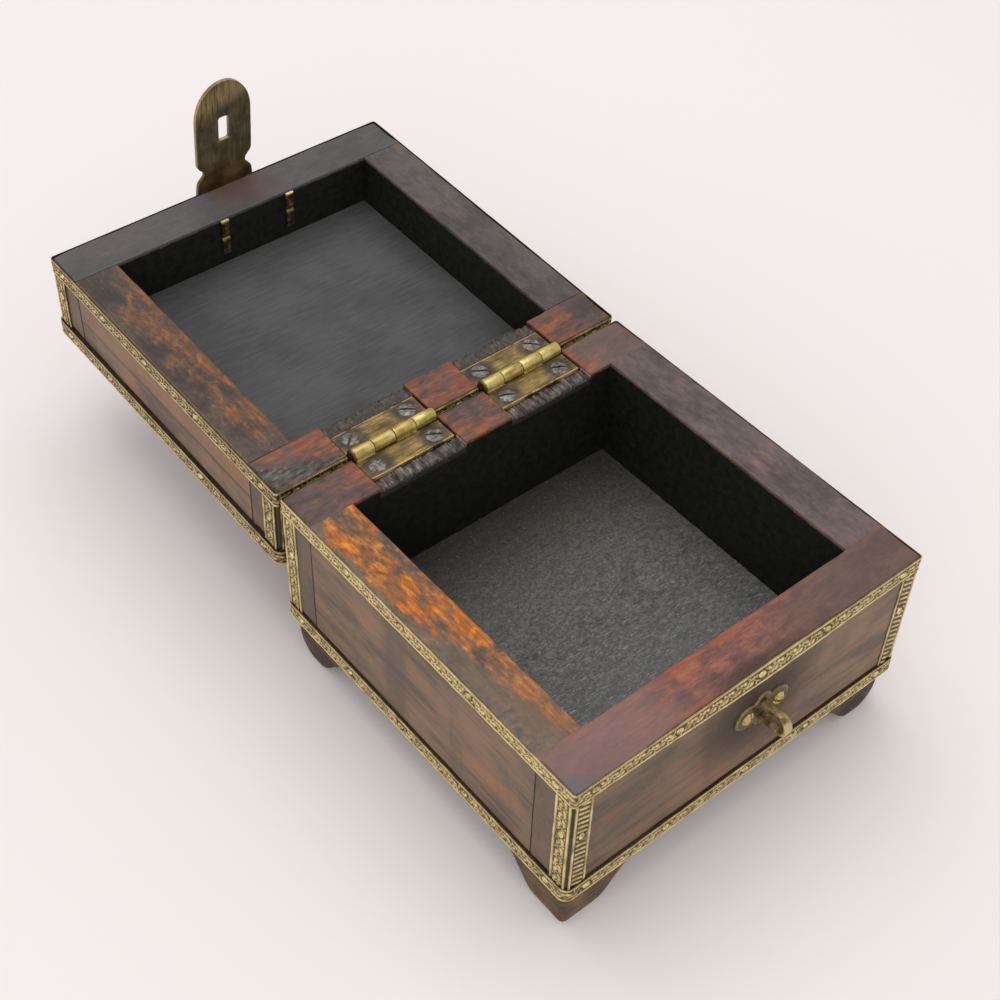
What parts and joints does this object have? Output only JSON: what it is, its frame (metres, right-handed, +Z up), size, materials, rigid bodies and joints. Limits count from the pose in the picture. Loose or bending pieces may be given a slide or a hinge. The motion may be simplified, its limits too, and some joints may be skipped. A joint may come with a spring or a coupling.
{
  "type": "trinket box",
  "caption": "Low square wooden box on bracket feet, edges bound in stamped brass strip, with a hinged lid lying open and a slotted hasp that closes over a staple.",
  "frame": {"origin": "middle of the open box's footprint, on the surface that the feet stand on", "axes": "+Z up; -Y towards the base's front wall with the staple, +Y towards the open lid; +X along the hinge axis, to the right seen from the front"},
  "size_m": [0.1522, 0.3184, 0.126],
  "materials": {
    "base_wood": "worn satin stain, orange-brown where rubbed",
    "lid_wood": "dark worn stain",
    "board_wood": "dark satin stain",
    "foot_wood": "dark satin stain",
    "painted_panel": "worn matt black paint",
    "stamped_brass": "embossed, tarnished in the hollows",
    "hinge_brass": "file marks, bright on the barrels",
    "dark_brass": "dark brown patina",
    "screw_steel": "worn grey steel"
  },
  "bodies": {
    "base": {"base_front_board": "base_wood", "base_back_board": "base_wood", "base_left_board": "base_wood", "base_right_board": "base_wood", "base_floor_panel": "painted_panel", "plinth_board": "board_wood", "foot_front_left": "foot_wood", "foot_front_right": "foot_wood", "foot_back_left": "foot_wood", "foot_back_right": "foot_wood", "base_rim_band": "stamped_brass", "plinth_band": "stamped_brass", "base_strip_front_left": "stamped_brass", "base_strip_front_right": "stamped_brass", "base_strip_back_left": "stamped_brass", "base_strip_back_right": "stamped_brass", "base_strip_side_front_left": "stamped_brass", "base_strip_side_front_right": "stamped_brass", "base_strip_side_back_left": "stamped_brass", "base_strip_side_back_right": "stamped_brass", "hinge_left_base_leaf": "hinge_brass", "hinge_right_base_leaf": "hinge_brass", "hinge_left_pin": "dark_brass", "hinge_right_pin": "dark_brass", "base_hinge_screw_left_1": "screw_steel", "base_hinge_screw_left_2": "screw_steel", "base_hinge_screw_right_1": "screw_steel", "base_hinge_screw_right_2": "screw_steel", "staple_plate": "dark_brass", "staple_loop": "hinge_brass", "staple_screw_left": "hinge_brass", "staple_screw_right": "hinge_brass"},
    "lid": {"lid_front_board": "lid_wood", "lid_back_board": "lid_wood", "lid_left_board": "lid_wood", "lid_right_board": "lid_wood", "lid_inner_panel": "painted_panel", "lid_top_board": "board_wood", "lid_rim_band": "stamped_brass", "lid_top_band": "stamped_brass", "lid_strip_front_left": "stamped_brass", "lid_strip_front_right": "stamped_brass", "lid_strip_back_left": "stamped_brass", "lid_strip_back_right": "stamped_brass", "lid_strip_side_front_left": "stamped_brass", "lid_strip_side_front_right": "stamped_brass", "lid_strip_side_back_left": "stamped_brass", "lid_strip_side_back_right": "stamped_brass", "hinge_left_lid_leaf": "hinge_brass", "hinge_right_lid_leaf": "hinge_brass", "lid_hinge_screw_left_1": "screw_steel", "lid_hinge_screw_left_2": "screw_steel", "lid_hinge_screw_right_1": "screw_steel", "lid_hinge_screw_right_2": "screw_steel", "cotter_left": "dark_brass", "cotter_right": "dark_brass", "hasp_pin": "dark_brass"},
    "hasp": {"hasp_plate": "dark_brass"}
  },
  "joints": [
    {"name": "lid_hinge", "type": "hinge", "parent": "base", "child": "lid", "pos_m": [0, 0.00249, 0.07455], "axis": [1, 0, 0], "range_deg": [0, 177.76]},
    {"name": "hasp_hinge", "type": "hinge", "parent": "lid", "child": "hasp", "pos_m": [0.005, 0.15661, 0.07192], "axis": [-1, 0, 0], "range_deg": [0, 180]}
  ]
}
